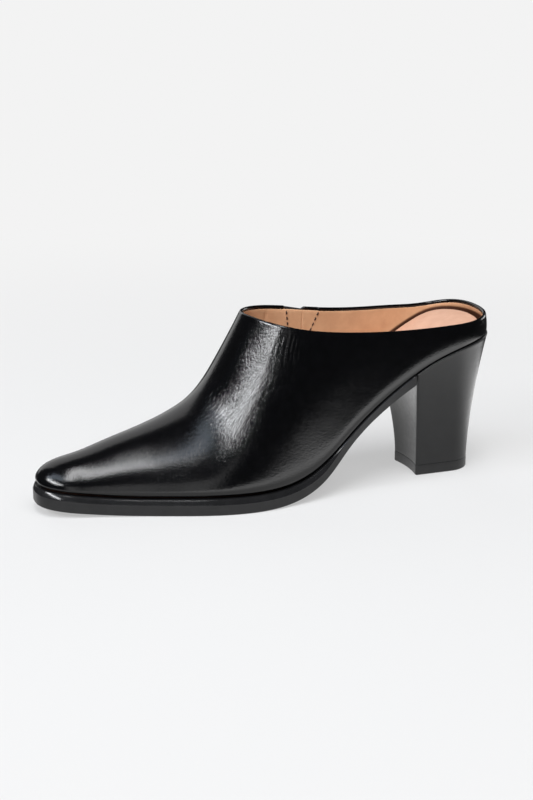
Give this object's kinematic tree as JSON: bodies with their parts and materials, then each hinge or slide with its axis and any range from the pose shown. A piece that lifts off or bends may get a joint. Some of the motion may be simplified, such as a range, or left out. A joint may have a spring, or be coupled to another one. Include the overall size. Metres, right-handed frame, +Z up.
{
  "type": "mule shoe",
  "caption": "Heeled slip-on mule for the left foot: pointed toe, high vamp, low back rim, elastic gore, ledged sole and tapered block heel.",
  "frame": {"origin": "middle of the floor under the whole shoe", "axes": "+X to the toe, +Y to the wearer's left, which is the outer side, +Z up"},
  "size_m": [0.242, 0.0736, 0.0925],
  "materials": {
    "black_leather": "polished black leather, fine grain",
    "black_elastic": "matte ribbed elastic",
    "tan_leather": "smooth natural lining leather",
    "black_sole": "matte dressed edge",
    "heel_wrap": "satin black wrap",
    "lift_rubber": "matte rubber"
  },
  "bodies": {
    "root": {"upper": "black_leather", "gore": "black_elastic", "insole": "tan_leather", "outsole": "black_sole", "heel": "heel_wrap", "top_lift": "lift_rubber"}
  },
  "joints": []
}
